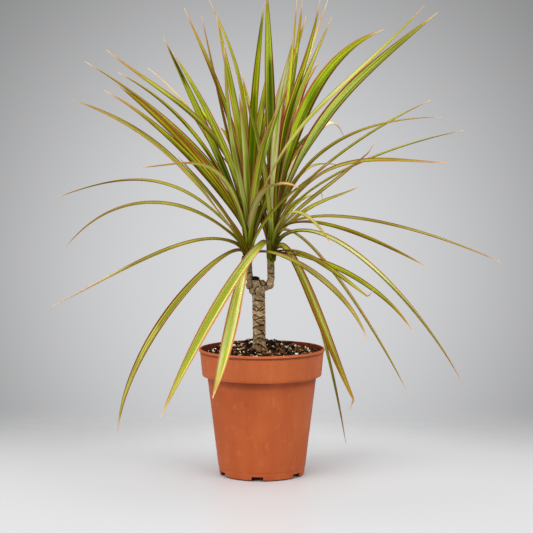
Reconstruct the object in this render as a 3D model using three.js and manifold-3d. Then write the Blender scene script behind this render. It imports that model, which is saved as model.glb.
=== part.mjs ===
// A potted dracaena marginata: nursery pot, soil, branched cane and two heads of striped leaves.
// Millimetres, +Z up. The origin is the middle of the pot's foot, and the photo looks along +Y.
import * as THREE from "three";
import { mergeVertices } from "three/addons/utils/BufferGeometryUtils.js";
import Module from "manifold-3d";

const wasm = await Module();
wasm.setup();

// Pot: radii and heights of its outside.
const potHeight = 121;
const rimRadius = 60;
const lipHeight = 2.6;
const lipReach = 0.9;
const collarHeight = 25;
const collarFootRadius = 56.9;
const collarRounding = 1.6;
const bodyTopRadius = 51.8;
const bodyTopHeight = 91.5;
const footRadius = 40.8;
const footStepHeight = 8;
const footStep = 0.45;
const edgeBevel = 0.6;
const wall = 1.6;
const floorThickness = 1.8;
const drainGutterHeight = 4.7;
const restingRadius = 22;
const gutterSlope = 2;
const notchCount = 6;
const notchWidth = 11;
const notchHeight = 4.3;
const notchDepth = 8;
const firstNotchAngle = -96;
const drainRadius = 3.2;
const drainCircle = 31;
const drainSides = 10;
const drillLength = 20;
const roundSegments = 36;

// Room left between touching pieces.
const gap = 0.3;

// Soil: a mound that is highest just behind the cane, with chips of bark and grit in it.
const soilEdgeHeight = 113;
const moundHeight = 6;
const moundSpread = 30;
const moundBack = 10;
const lumpCount = 60;
const lumpRise = 1.4;
const lumpSize = [3, 7];
const soilRings = 6;
const soilCentreRadius = 1.5;
const barkCount = 22;
const barkLength = [5, 9];
const barkWidth = [2, 3.2];
const barkDepth = [1.4, 2.2];
const gritCount = 14;
const gritRadius = [1.6, 2.6];
const chipReach = 49;
const chipClearance = 12;
const chipTilt = 0.5;
const chipLift = 0.4;
const holeMargin = 1.1;
const holeSides = 24;

// Cane: it stands nearly upright, and ends in a knob that carries a cut stub and two branches.
const caneRadius = 6.1;
const caneFoot = [-2.2, 0, 60];
const caneAtSoil = [-2.3, 0, 122];
const caneTop = [-3.2, 0, 178];
const caneSides = 12;
const caneRings = 40;
const scarPitch = 4.4;
const scarSlant = 0.25;
const scarTwist = 9;
const scarRelief = 0.35;
const plainDepth = 4;
const rootFlare = { at: [-8.2, -1.5, 120.5], size: [2.6, 2.8, 4.6] };
const knob = { at: [-4.3, 0, 180.4], size: [10.2, 8.6, 8.4], bumps: 0.09 };
const stub = { foot: [-5.6, -0.6, 180], top: [-6.3, -1, 189.6], radius: 3.9 };
const branchRadius = 3.3;
const branchRipple = 0.05;
const branchSides = 10;
const branchRings = 12;
const leftBranch = [[-6, 0, 181], [-10.6, 0, 185], [-12.6, 0, 192], [-12.8, 0, 202]];
const rightBranch = [[0, 0, 179.5], [5.6, 0, 181.2], [8.9, 0, 186.6], [8.4, 0, 193], [8.6, 0, 200]];

// Shoots: the green growth on top of each branch. The leaves are rooted on its axis, at even steps.
const leftShoot = [[-12.8, 0, 202.4], [-13.2, 0, 214], [-12.2, 0, 234], [-11.2, 0, 252]];
const rightShoot = [[8.6, 0, 200.5], [8.4, 0.5, 214], [9.8, 1.5, 234], [11.4, 2.5, 255]];
const firstLeafHeight = 207;
const lastLeafDepth = 2;
const shootRadii = [3.3, 4.9, 4.2, 2.6];
const shootSides = 10;
const shootRings = 6;

// Leaves, from the lowest and oldest to the highest. Each row holds where the tip is (x, y, z), the angle
// above the horizontal at which the leaf starts, how far it holds that angle, the angle below the
// horizontal at which it ends, its width, its roll about its own length and, if its tip is kinked,
// the angle by which the tip turns down.
const leftLeaves = [
  [95, -105, 143, 64, 25, 62, 7, 15],
  [-43, -130, 94, -20, 30, 35, 9.5, -35],
  [-129, -110, 60, 66, 33, 84, 9, -20],
  [-214, 120, 148, 46, 56, 24, 7, -24],
  [-163, -130, 356, 49, 98, -16, 9.5, -70],
  [-202, 130, 206, 42, 86, 46, 7, -14],
  [31, -190, 283, 88, 60, 4, 8, 5],
  [-212, 150, 257, 44, 112, 17, 7, -14],
  [-131, -90, 372, 86, 38, -32, 10, -65],
  [-103, -170, 299, 67, 108, 0, 6, 10],
  [-150, 20, 366, 86, 24, -28, 9.5, -50],
  [-45, 190, 330, 60, 95, -8, 8, 10],
  [143, -110, 439, 76, 116, -43, 9.5, 60],
  [-172, 60, 394, 86, 50, -28, 8, -12],
  [-150, 40, 405, 86, 106, -37, 9, -40],
  [-146, 130, 385, 62, 86, -20, 7, 5],
  [-75, 160, 360, 60, 95, -20, 8, 0],
  [-96, 60, 418, 66, 50, -59, 9.5, -30],
  [-83, -20, 401, 86, 34, -56, 9, -55],
  [-117, 150, 390, 54, 95, -23, 6, 0],
  [13, -90, 347, 60, 90, -35, 8, 20],
  [-20, -80, 362, 70, 90, -46, 8, -30],
  [-33, -90, 405, 50, 95, -84, 7, -30],
  [11, 75, 364, 72, 70, -40, 7, 20],
  [-20, 170, 380, 65, 95, -25, 8, -10],
  [2, -25, 446, 86, 96, -77, 9, 5],
  [-43, 20, 438, 86, 64, -77, 8.5, -25],
  [9, 70, 401, 78, 80, -60, 7, 20],
  [-55, -40, 434, 68, 64, -74, 7, -45],
  [-51, 50, 453, 88, 118, -52, 5.5, -40],
  [-74, 30, 444, 80, 86, -63, 7.5, -20],
];
const rightLeaves = [
  [88, -90, 76, 72, 60, 52, 9.5, 50, 65],
  [135, -120, 151, 48, 17, 49, 8, 20],
  [99, -130, 180, 28, 42, 20, 7, 10, -60],
  [85, 100, 11, 42, 54, 74, 6, 20],
  [147, 120, 63, 84, 76, 56, 8, 40],
  [200, 80, 76, 60, 74, 60, 8.5, 35],
  [144, -150, 212, 82, 52, 19, 8, 25],
  [97, -170, 317, 84, 26, -27, 9, 60, -15],
  [60, -180, 233, 55, 60, 24, 7, 35],
  [238, 80, 196, 78, 54, 24, 7, 28],
  [-87, -160, 82, 52, 24, 50, 9.5, -55],
  [64, 140, 264, 34, 84, -6, 6, 10, 75],
  [100, 170, 267, 24, 86, -9, 7.5, 15],
  [80, 170, 290, 52, 90, 5, 8, 0],
  [202, 100, 327, 70, 52, -9, 7, 10],
  [182, 120, 340, 74, 92, 0, 7.5, 20],
  [165, -110, 301, 60, 100, 1, 8.5, 45],
  [170, 120, 357, 76, 40, -19, 6, 0],
  [84, 140, 318, 80, 34, 54, 7.5, 50],
  [55, 200, 320, 62, 95, -5, 8, -10],
  [168, 30, 440, 72, 114, -38, 9, 50],
  [29, -60, 414, 86, 116, -55, 8, 20],
  [119, 60, 425, 80, 62, -16, 10.5, 60],
  [30, 190, 350, 66, 95, -15, 8, 10],
  [58, 90, 396, 60, 100, -29, 7, 30],
  [54, -15, 449, 86, 118, -80, 9, 60],
  [5, 10, 463, 88, 44, -88, 9, -10],
  [66, 15, 435, 88, 80, -67, 8.5, 45],
  [25, 150, 390, 70, 95, -35, 8, 10],
  [8, 40, 428, 86, 72, -75, 6, -40],
  [33, 20, 451, 78, 58, -85, 7, 0],
  [39, 50, 453, 80, 90, -80, 6, 30],
  [43, 60, 438, 88, 118, -60, 6, 35],
  [63, 40, 452, 77, 104, -67, 7, 5],
];
const bladeThickness = 0.7;
const bladeFold = 0.16;
const bladeTipWidth = 1.1;
const bladeRootShare = 0.55;
const bladeFullStation = 0.3;
const bladeTaperStation = 0.35;
const rollStation = 0.4;
const bladeStations = [0, 0.12, 0.28, 0.45, 0.62, 0.79, 0.95, 1];
const kinkStation = 0.95;
const tipHandle = 0.4;

const terracotta = new THREE.MeshStandardMaterial({ color: 0xb65c34, roughness: 0.55, metalness: 0 });
const darkSoil = new THREE.MeshStandardMaterial({ color: 0x33251a, roughness: 1, metalness: 0 });
const greyBark = new THREE.MeshStandardMaterial({ color: 0x8f8068, roughness: 0.9, metalness: 0 });
const leafGreen = new THREE.MeshStandardMaterial({ color: 0x6f9335, roughness: 0.5, metalness: 0 });

const vector = ([x, y, z]) => new THREE.Vector3(x, y, z);
const radians = THREE.MathUtils.degToRad;
const smooth = THREE.MathUtils.smoothstep;

// A random number source that always gives the same numbers for the same seed.
function randomSource(seed) {
  let state = seed;
  return (low, high) => {
    state = (state * 1664525 + 1013904223) % 4294967296;
    return low + (high - low) * (state / 4294967296);
  };
}

// Turns a closed three.js geometry into a solid that can be joined and cut.
function solid(geometry) {
  const bare = geometry.clone();
  bare.deleteAttribute("normal");
  bare.deleteAttribute("uv");
  const merged = mergeVertices(bare, 1e-4);
  const corners = merged.index.array;
  const triangles = [];
  for (let i = 0; i < corners.length; i += 3) {
    const [a, b, c] = [corners[i], corners[i + 1], corners[i + 2]];
    if (a !== b && b !== c && c !== a) triangles.push(a, b, c);
  }
  const vertProperties = new Float32Array(merged.attributes.position.array);
  return new wasm.Manifold(new wasm.Mesh({ numProp: 3, vertProperties, triVerts: new Uint32Array(triangles) }));
}

// Fills any pocket that is closed in between joined pieces, by keeping only the outer surface.
function outerBody(body) {
  return body.decompose().reduce((outer, next) => (next.volume() > outer.volume() ? next : outer));
}

// Turns a solid back into a named mesh.
function namedMesh(name, body, material) {
  const result = body.getMesh();
  const geometry = new THREE.BufferGeometry();
  geometry.setAttribute("position", new THREE.BufferAttribute(result.vertProperties, 3));
  geometry.setIndex(new THREE.BufferAttribute(result.triVerts, 1));
  geometry.computeVertexNormals();
  const mesh = new THREE.Mesh(geometry, material);
  mesh.name = name;
  return mesh;
}

// Turns an outline of [radius, height] points round the Z axis.
function turned(outline) {
  const points = outline.map(([radius, height]) => new THREE.Vector2(radius, height));
  return solid(new THREE.LatheGeometry(points, roundSegments).rotateX(Math.PI / 2));
}

// Stretches a skin over rings of points that run the same way round, and closes both ends.
// Each ring's second half mirrors its first, so a thin section is split alike on both faces.
function skinned(rings) {
  const count = rings[0].length;
  const half = count / 2;
  const index = [];
  const quad = (a, b, c, d, mirrored) => {
    if (mirrored) index.push(a, b, d, b, c, d);
    else index.push(a, b, c, a, c, d);
  };
  for (let ring = 0; ring < rings.length - 1; ring++) {
    const here = ring * count;
    for (let i = 0; i < count; i++) {
      const next = (i + 1) % count;
      quad(here + i, here + next, here + count + next, here + count + i, i >= half);
    }
  }
  const last = (rings.length - 1) * count;
  for (let i = 0; i < half - 1; i++) {
    quad(count - 1 - i, count - 2 - i, i + 1, i, false);
    quad(last + i, last + i + 1, last + count - 2 - i, last + count - 1 - i, false);
  }
  const geometry = new THREE.BufferGeometry().setFromPoints(rings.flat());
  geometry.setIndex(index);
  return solid(geometry);
}

// Even shares from a start to 1.
function evenly(start, steps) {
  return Array.from({ length: steps + 1 }, (_, i) => start + ((1 - start) * i) / steps);
}

// A round stem along a curve in or near the XZ plane, with a ring of points at each share of its length.
// radiusAt gets the share and the angle.
function stem(curve, radiusAt, shares, sides) {
  const rings = [];
  for (const share of shares) {
    const centre = curve.getPointAt(share);
    const across = new THREE.Vector3(0, 1, 0).cross(curve.getTangentAt(share)).normalize();
    const along = curve.getTangentAt(share).cross(across).normalize();
    const ring = [];
    for (let side = 0; side < sides; side++) {
      const angle = (side / sides) * 2 * Math.PI;
      const radius = radiusAt(share, angle);
      const point = centre.clone().addScaledVector(across, radius * Math.cos(angle));
      ring.push(point.addScaledVector(along, radius * Math.sin(angle)));
    }
    rings.push(ring);
  }
  return skinned(rings);
}

function ellipsoid({ at, size }, detail) {
  return solid(new THREE.IcosahedronGeometry(1, detail).scale(...size).translate(...at));
}

// Nursery pot: a thin wall with a deep collar and a small lip. It rests on the flat middle of its floor
// and on its notched foot, with a raised gutter of drain holes between them.
function makePot() {
  const collarFootHeight = potHeight - collarHeight;
  const lipFoot = potHeight - lipHeight;
  const slope = (bodyTopRadius - footRadius) / bodyTopHeight;
  const outside = [
    [footRadius - edgeBevel, 0],
    [footRadius, edgeBevel],
    [footRadius + slope * footStepHeight - footStep, footStepHeight],
    [footRadius + slope * footStepHeight, footStepHeight + footStep],
    [bodyTopRadius, bodyTopHeight],
    [collarFootRadius - collarRounding, collarFootHeight - 2 * collarRounding],
    [collarFootRadius, collarFootHeight],
    [rimRadius - lipReach, lipFoot],
    [rimRadius, lipFoot + edgeBevel],
    [rimRadius, potHeight - edgeBevel],
    [rimRadius - edgeBevel, potHeight],
  ];
  const inside = [
    [rimRadius - lipReach - wall, potHeight],
    ...innerWall(),
    [restingRadius + gutterSlope, drainGutterHeight + floorThickness],
    [restingRadius, floorThickness],
    [0, floorThickness],
    [0, 0],
    [restingRadius, 0],
    [restingRadius + gutterSlope, drainGutterHeight],
    [footRadius - wall, drainGutterHeight],
    [footRadius - wall, 0],
  ];
  let pot = turned([...outside, ...inside, outside[0]]);
  for (let i = 0; i < notchCount; i++) {
    const angle = radians(firstNotchAngle + (360 / notchCount) * i);
    const notch = new THREE.BoxGeometry(notchDepth, notchWidth, 2 * notchHeight);
    notch.translate(footRadius, 0, 0).rotateZ(angle);
    const drain = new THREE.CylinderGeometry(drainRadius, drainRadius, drillLength, drainSides);
    drain.rotateX(Math.PI / 2).translate(drainCircle, 0, 0).rotateZ(angle);
    pot = pot.subtract(solid(notch)).subtract(solid(drain));
  }
  return namedMesh("pot", pot, terracotta);
}

// The pot's inner wall from its collar down to its floor.
function innerWall() {
  return [
    [collarFootRadius - wall, potHeight - collarHeight],
    [bodyTopRadius - wall, bodyTopHeight],
    [footRadius - wall + 1, drainGutterHeight + floorThickness],
  ];
}

// How high the soil lies at a place, with lumps like those of loose potting mix.
function makeSoilHeight() {
  const random = randomSource(7);
  const lumps = [];
  for (let i = 0; i < lumpCount; i++) {
    const angle = random(0, 2 * Math.PI);
    const reach = chipReach * Math.sqrt(random(0, 1));
    const [x, y] = [reach * Math.cos(angle), reach * Math.sin(angle)];
    lumps.push({ x, y, rise: random(-lumpRise, lumpRise), size: random(...lumpSize) });
  }
  return (x, y) => {
    const away = x * x + (y - moundBack) ** 2;
    let height = soilEdgeHeight + moundHeight * Math.exp(-away / (2 * moundSpread ** 2));
    for (const lump of lumps) {
      const distance = (x - lump.x) ** 2 + (y - lump.y) ** 2;
      height += lump.rise * Math.exp(-distance / (lump.size * lump.size));
    }
    return height;
  };
}

// The plain body of soil, fitted to the inside of the pot.
function soilBody(heightAt) {
  const [collar, ledge, floor] = innerWall();
  const rings = [];
  const ringAt = (radius, height) => {
    const ring = [];
    for (let i = 0; i < roundSegments; i++) {
      const angle = (i / roundSegments) * 2 * Math.PI;
      const [x, y] = [radius * Math.cos(angle), radius * Math.sin(angle)];
      ring.push(new THREE.Vector3(x, y, height ?? heightAt(x, y)));
    }
    rings.push(ring);
  };
  const lift = gap / 2;
  const collarSlope = (rimRadius - lipReach - collarFootRadius) / collarHeight;
  const edgeRadius = collar[0] - gap + collarSlope * (soilEdgeHeight - collar[1]) - 2 * lift;
  ringAt(1, floorThickness + gap);
  ringAt(restingRadius - gap, floorThickness + gap);
  ringAt(restingRadius + gutterSlope - gap, floor[1] + gap);
  ringAt(floor[0] - gap, floor[1] + gap);
  ringAt(ledge[0] - gap, ledge[1] + lift);
  ringAt(collar[0] - gap, collar[1] + lift);
  for (let i = 0; i < soilRings; i++) ringAt(THREE.MathUtils.lerp(edgeRadius, soilCentreRadius, i / soilRings));
  return skinned(rings);
}

// Soil with its chips of bark and grit, and plain holes for the cane and its root flare.
function makeSoil() {
  const heightAt = makeSoilHeight();
  const random = randomSource(21);
  let soil = soilBody(heightAt);
  for (let i = 0; i < barkCount + gritCount; i++) {
    const angle = random(0, 2 * Math.PI);
    const reach = chipClearance + (chipReach - chipClearance) * Math.sqrt(random(0, 1));
    const [x, y] = [reach * Math.cos(angle), reach * Math.sin(angle)];
    const chip = i < barkCount
      ? new THREE.BoxGeometry(random(...barkLength), random(...barkWidth), random(...barkDepth))
      : new THREE.OctahedronGeometry(random(...gritRadius));
    chip.rotateX(random(-chipTilt, chipTilt)).rotateY(random(-chipTilt, chipTilt)).rotateZ(random(0, Math.PI));
    chip.translate(x, y, heightAt(x, y) + chipLift);
    soil = soil.add(solid(chip));
  }
  const caneHole = hole([caneRadius + holeMargin, caneRadius + holeMargin], caneFoot);
  const [flareX, flareY, flareZ] = rootFlare.at;
  const flareSize = [rootFlare.size[0] + gap, rootFlare.size[1] + gap];
  const flareHole = hole(flareSize, [flareX, flareY, flareZ - rootFlare.size[2]]);
  return namedMesh("soil", soil.subtract(caneHole).subtract(flareHole), darkSoil);
}

// A plain upright hole, oval in plan, that runs up from just below a foot and out of the top of the pot.
function hole([radiusX, radiusY], [x, y, foot]) {
  const geometry = new THREE.CylinderGeometry(1, 1, potHeight, holeSides).rotateX(Math.PI / 2);
  return solid(geometry.scale(radiusX, radiusY, 1).translate(x, y, foot - gap + potHeight / 2));
}

// Radius of the cane: plain under the soil, ringed by slanting leaf scars above it.
function scarredRadius(height, angle) {
  const slant = scarSlant * scarPitch * Math.sin(angle + height / scarTwist);
  const ridge = Math.cos(((height + slant) / scarPitch) * 2 * Math.PI);
  return caneRadius + scarRelief * smooth(height, caneAtSoil[2] - plainDepth, caneAtSoil[2]) * ridge;
}

// The knob where the cane was cut: a lump with shallow bumps.
function makeKnob() {
  const geometry = new THREE.IcosahedronGeometry(1, 2);
  const place = geometry.attributes.position;
  for (let i = 0; i < place.count; i++) {
    const [x, y, z] = [place.getX(i), place.getY(i), place.getZ(i)];
    const bump = Math.sin(5 * x + 1) * Math.cos(4 * y - 0.6) + Math.sin(6 * z + 2 * x);
    const swell = 1 + knob.bumps * bump;
    place.setXYZ(i, x * swell, y * swell, z * swell);
  }
  return solid(geometry.scale(...knob.size).translate(...knob.at));
}

function makeTrunk() {
  const caneAxis = new THREE.CatmullRomCurve3([caneFoot, caneAtSoil, caneTop].map(vector));
  const caneHeight = caneTop[2] - caneFoot[2];
  const shares = [0, ...evenly((caneAtSoil[2] - plainDepth - caneFoot[2]) / caneHeight, caneRings)];
  const caneAt = (share, angle) => scarredRadius(caneFoot[2] + share * caneHeight, angle);
  const cane = stem(caneAxis, caneAt, shares, caneSides);
  const stubAxis = new THREE.LineCurve3(vector(stub.foot), vector(stub.top));
  const branchAt = (share) => branchRadius * (1 + branchRipple * Math.sin(share * 40));
  const branch = (route) => {
    const axis = new THREE.CatmullRomCurve3(route.map(vector));
    return stem(axis, branchAt, evenly(0, branchRings), branchSides);
  };
  const trunk = cane
    .add(ellipsoid(rootFlare, 1))
    .add(makeKnob())
    .add(stem(stubAxis, () => stub.radius, [0, 1], caneSides))
    .add(branch(leftBranch))
    .add(branch(rightBranch));
  return namedMesh("trunk", trunk, greyBark);
}

// The direction that rises by an angle from a level heading.
function risen(heading, degrees) {
  const angle = radians(degrees);
  return heading.clone().multiplyScalar(Math.cos(angle)).setZ(Math.sin(angle));
}

// The share of a blade's full width at a share of its length.
function bladeShape(share) {
  const base = bladeRootShare + (1 - bladeRootShare) * smooth(share, 0, bladeFullStation);
  const taper = Math.max(0, (share - bladeTaperStation) / (1 - bladeTaperStation));
  return base * (1 - taper ** 2);
}

// One leaf: a folded blade swept along an arc that lies in the upright plane of root and tip.
function makeLeaf(root, [x, y, z, rise, hold, fall, width, roll, kink = 0]) {
  const tip = new THREE.Vector3(x, y, z);
  const heading = new THREE.Vector3(x - root.x, y - root.y, 0).normalize();
  const level = new THREE.Vector3(-heading.y, heading.x, 0);
  const start = root.clone().addScaledVector(risen(heading, rise), hold);
  const end = tip.clone().addScaledVector(risen(heading, -fall), -tipHandle * root.distanceTo(tip));
  const arc = new THREE.CubicBezierCurve3(root, start, end, tip);
  const hinge = arc.getPoint(kinkStation);
  const rings = bladeStations.map((share) => {
    const centre = arc.getPoint(share);
    const tangent = arc.getTangent(share);
    if (share > kinkStation) {
      centre.sub(hinge).applyAxisAngle(level, radians(kink)).add(hinge);
      tangent.applyAxisAngle(level, radians(kink));
    }
    const turn = radians(roll) * smooth(share, 0, rollStation);
    const side = level.clone().applyAxisAngle(tangent, turn);
    const up = tangent.clone().cross(side);
    const halfWidth = Math.max(width * bladeShape(share), bladeTipWidth) / 2;
    const fold = 2 * halfWidth * bladeFold;
    const at = (across, above) => centre.clone().addScaledVector(side, across).addScaledVector(up, above);
    const top = [at(halfWidth, fold), at(0, -fold), at(-halfWidth, fold)];
    const under = top.map((point) => point.clone().addScaledVector(up, -bladeThickness)).reverse();
    return [...top, ...under];
  });
  return skinned(rings);
}

// A head: the shoot with all its leaves, joined as one body.
function makeHead(name, shoot, leaves) {
  const axis = new THREE.CatmullRomCurve3(shoot.map(vector));
  const [lowest, highest] = [shoot[0][2], shoot[3][2]];
  const shareAt = (height) => (height - lowest) / (highest - lowest);
  const radiusAt = (share) => {
    const place = Math.min(share * 3, 2.999);
    const from = Math.floor(place);
    return THREE.MathUtils.lerp(shootRadii[from], shootRadii[from + 1], place - from);
  };
  let head = stem(axis, radiusAt, evenly(0, shootRings), shootSides);
  const step = (highest - lastLeafDepth - firstLeafHeight) / (leaves.length - 1);
  leaves.forEach((leaf, i) => {
    head = head.add(makeLeaf(axis.getPointAt(shareAt(firstLeafHeight + step * i)), leaf));
  });
  return namedMesh(name, outerBody(head), leafGreen);
}

const plant = new THREE.Group();
plant.add(makePot());
plant.add(makeSoil());
plant.add(makeTrunk());
plant.add(makeHead("left_head", leftShoot, leftLeaves));
plant.add(makeHead("right_head", rightShoot, rightLeaves));

export default plant;
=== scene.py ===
import math
import random

import bpy
from mathutils import Euler, Matrix, Vector, noise


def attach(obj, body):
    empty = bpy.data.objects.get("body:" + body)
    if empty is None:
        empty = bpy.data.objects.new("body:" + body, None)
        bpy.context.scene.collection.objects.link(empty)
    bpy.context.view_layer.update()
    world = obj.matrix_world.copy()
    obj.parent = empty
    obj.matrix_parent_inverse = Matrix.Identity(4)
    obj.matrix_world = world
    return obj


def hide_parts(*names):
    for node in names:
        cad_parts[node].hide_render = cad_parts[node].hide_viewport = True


# A potted dracaena marginata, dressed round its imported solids.
# Lengths are in millimetres, and in metres in the studio.
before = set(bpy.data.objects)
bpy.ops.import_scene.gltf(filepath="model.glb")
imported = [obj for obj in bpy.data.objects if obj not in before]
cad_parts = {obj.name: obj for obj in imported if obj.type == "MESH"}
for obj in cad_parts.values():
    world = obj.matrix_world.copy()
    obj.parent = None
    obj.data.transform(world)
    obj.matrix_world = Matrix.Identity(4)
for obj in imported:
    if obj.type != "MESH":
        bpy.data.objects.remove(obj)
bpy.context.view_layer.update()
mm = 0.001
goldenShare = 0.618034  # its multiples, less their whole parts, spread evenly from 0 to 1


# ---- small helpers for objects

def onlySelect(*pieces):
    bpy.ops.object.select_all(action="DESELECT")
    for piece in pieces:
        piece.select_set(True)
    bpy.context.view_layer.objects.active = pieces[0]


def addShape(operator, **settings):
    # Adds an object with nothing else selected.
    bpy.ops.object.select_all(action="DESELECT")
    operator(**settings)
    return bpy.context.object


def applyModifier(piece, kind, **settings):
    onlySelect(piece)
    modifier = piece.modifiers.new(kind.title(), kind)
    for setting, value in settings.items():
        setattr(modifier, setting, value)
    bpy.ops.object.modifier_apply(modifier=modifier.name)


def joinPieces(pieces):
    onlySelect(*pieces)
    bpy.ops.object.join()
    return bpy.context.object


def placeInMesh(piece):
    onlySelect(piece)
    bpy.ops.object.transform_apply()


def copyOf(piece, matrix):
    twin = piece.copy()
    twin.data = piece.data.copy()
    twin.data.transform(matrix)
    bpy.context.scene.collection.objects.link(twin)
    return twin


def removePiece(piece):
    bpy.data.objects.remove(piece)


def pointAttribute(piece, name, values):
    attribute = piece.data.attributes.new(name, "FLOAT", "POINT")
    attribute.data.foreach_set("value", values)


def clampShare(value):
    return min(max(value, 0), 1)


def easeShare(value, low, high):
    share = clampShare((value - low) / (high - low))
    return share * share * (3 - 2 * share)


def hump(value, middle, width):
    # 1 at the middle, falling smoothly to 0 on both sides
    return math.exp(-((value - middle) / width) ** 2)


def polar(reach, angle):
    return reach * math.cos(angle), reach * math.sin(angle)


def dress(piece, name, material, node=None):
    placeInMesh(piece)
    piece.name = name
    piece.data.name = name
    piece.data.materials.append(material)
    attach(piece, "root")
    if node:
        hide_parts(node)
    print("made", name, len(piece.data.polygons), "faces")


# ---- shader maths

class Wire:
    # One output socket of a material. Sums and products of wires add Math nodes.
    def __init__(self, paint, socket):
        self.paint = paint
        self.socket = socket

    def sum(self, operation, *others):
        inputs = dict(enumerate((self, *others)))
        return self.paint.node("ShaderNodeMath", {"operation": operation}, inputs)

    def __add__(self, other):
        return self.sum("ADD", other)

    def __sub__(self, other):
        return self.sum("SUBTRACT", other)

    def __rsub__(self, other):
        return self.paint.node("ShaderNodeMath", {"operation": "SUBTRACT"}, {0: other, 1: self})

    def __mul__(self, other):
        return self.sum("MULTIPLY", other)

    def __abs__(self):
        return self.sum("ABSOLUTE")

    __radd__ = __add__
    __rmul__ = __mul__

    def step(self, low, high):
        # 0 below low, 1 above high, smooth between; backwards when low is above high
        ends = {"From Min": low, "From Max": high, "Value": self}
        return self.paint.node("ShaderNodeMapRange", {"interpolation_type": "SMOOTHSTEP"}, ends)


class Paint:
    # A material and the nodes that lead to its shader.
    def __init__(self, name, **fixed):
        self.material = bpy.data.materials.new(name)
        self.material.use_nodes = True
        self.tree = self.material.node_tree
        self.shader = self.tree.nodes["Principled BSDF"]
        self.finish(**fixed)

    def node(self, kind, settings=None, inputs=None, output=0):
        node = self.tree.nodes.new(kind)
        for setting, value in (settings or {}).items():
            setattr(node, setting, value)
        for socket, value in (inputs or {}).items():
            self.feed(node.inputs[socket], value)
        return Wire(self, node.outputs[output])

    def feed(self, socket, value):
        if isinstance(value, Wire):
            self.tree.links.new(value.socket, socket)
        else:
            socket.default_value = value

    def mix(self, factor, first, second):
        # Each colour is another wire or is given as read off a screen.
        first, second = (part if isinstance(part, Wire) else shade(*part) for part in (first, second))
        return self.node("ShaderNodeMix", {"data_type": "RGBA"}, {0: factor, 6: first, 7: second}, output=2)

    def layOver(self, colour, layers, masks):
        # Lays layer after layer over a colour: each says how strongly, and in which colour.
        for name, (strength, over) in layers.items():
            colour = self.mix(masks[name] * strength, colour, over)
        return colour

    def split(self, vector):
        node = self.tree.nodes.new("ShaderNodeSeparateXYZ")
        self.feed(node.inputs[0], vector)
        return [Wire(self, output) for output in node.outputs]

    def vector(self, x, y, z=0.0):
        return self.node("ShaderNodeCombineXYZ", None, {"X": x, "Y": y, "Z": z})

    def distance(self, here, there):
        return self.node("ShaderNodeVectorMath", {"operation": "DISTANCE"}, {0: here, 1: there}, "Value")

    def place(self):
        return self.node("ShaderNodeTexCoord", output="Object")

    def height(self, place):
        # How high a point is, in millimetres.
        return self.split(place)[2] * (1 / mm)

    def noise(self, vector, scale, detail=3.0):
        inputs = {"Vector": vector, "Scale": scale, "Detail": detail}
        return self.node("ShaderNodeTexNoise", None, inputs)

    def stretched(self, vector, squash):
        # Draws a pattern out along Z.
        return self.node("ShaderNodeMapping", None, {"Vector": vector, "Scale": (1, 1, squash)})

    def patches(self, place, scale, detail, low, high, squash=None):
        # Noise cut to patches, which begin at low and are full at high.
        spot = self.stretched(place, squash) if squash else place
        return self.noise(spot, scale, detail).step(low, high)

    def attribute(self, name):
        return self.node("ShaderNodeAttribute", {"attribute_name": name}, output="Fac")

    def bump(self, height, strength, distance):
        inputs = {"Strength": strength, "Distance": distance, "Height": height}
        self.feed(self.shader.inputs["Normal"], self.node("ShaderNodeBump", None, inputs))

    def finish(self, **inputs):
        for socket, value in inputs.items():
            self.feed(self.shader.inputs[socket.replace("_", " ")], value)
        return self.material


def shade(red, green, blue):
    # A colour as read off a screen, 0 to 255, made linear by the screen's own curve.
    def linear(part):
        return ((part / 255 + 0.055) / 1.055) ** 2.4 if part > 10 else part / 3294

    return linear(red), linear(green), linear(blue), 1


# ---- pot

pot = {
    "height": 121, "rim": 60, "lipHeight": 2.6, "lipReach": 0.9,
    "collarHeight": 25, "collarFoot": 56.9,
    "bodyTop": 51.8, "bodyTopHeight": 91.5, "foot": 40.8,
    "stepHeight": 8, "step": 0.45, "wall": 1.6, "floor": 1.8,
    "gutter": 4.7, "resting": 22, "gutterSlope": 2,
    "notches": 6, "notchWidth": 11, "notchHeight": 4.3, "notchDepth": 8, "firstNotch": -96,
    "drain": 3.2, "drainCircle": 31, "drainDepth": 20, "drainSides": 32,
    "segments": 144, "edge": 0.35, "innerLift": 2.6, "roundedFrom": 40, "smoothTo": 32,
}
collarEnd = pot["height"] - pot["collarHeight"]
lipEnd = pot["height"] - pot["lipHeight"]


def spun(outline, segments):
    # Draws an outline of [radius, height] points from one vertex, then spins it round the Z axis.
    piece = addShape(bpy.ops.mesh.primitive_plane_add, size=mm)
    bpy.ops.object.mode_set(mode="EDIT")
    bpy.ops.mesh.merge(type="CENTER")
    bpy.ops.transform.translate(value=(outline[0][0] * mm, 0, outline[0][1] * mm))
    for here, there in zip(outline, outline[1:]):
        move = ((there[0] - here[0]) * mm, 0, (there[1] - here[1]) * mm)
        bpy.ops.mesh.extrude_vertices_move(TRANSFORM_OT_translate={"value": move})
    bpy.ops.mesh.select_all(action="SELECT")
    bpy.ops.mesh.spin(steps=segments, angle=2 * math.pi, axis=(0, 0, 1))
    bpy.ops.mesh.select_all(action="SELECT")
    bpy.ops.mesh.remove_doubles(threshold=0.02 * mm)
    bpy.ops.mesh.normals_make_consistent()
    bpy.ops.object.mode_set(mode="OBJECT")
    return piece


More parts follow.
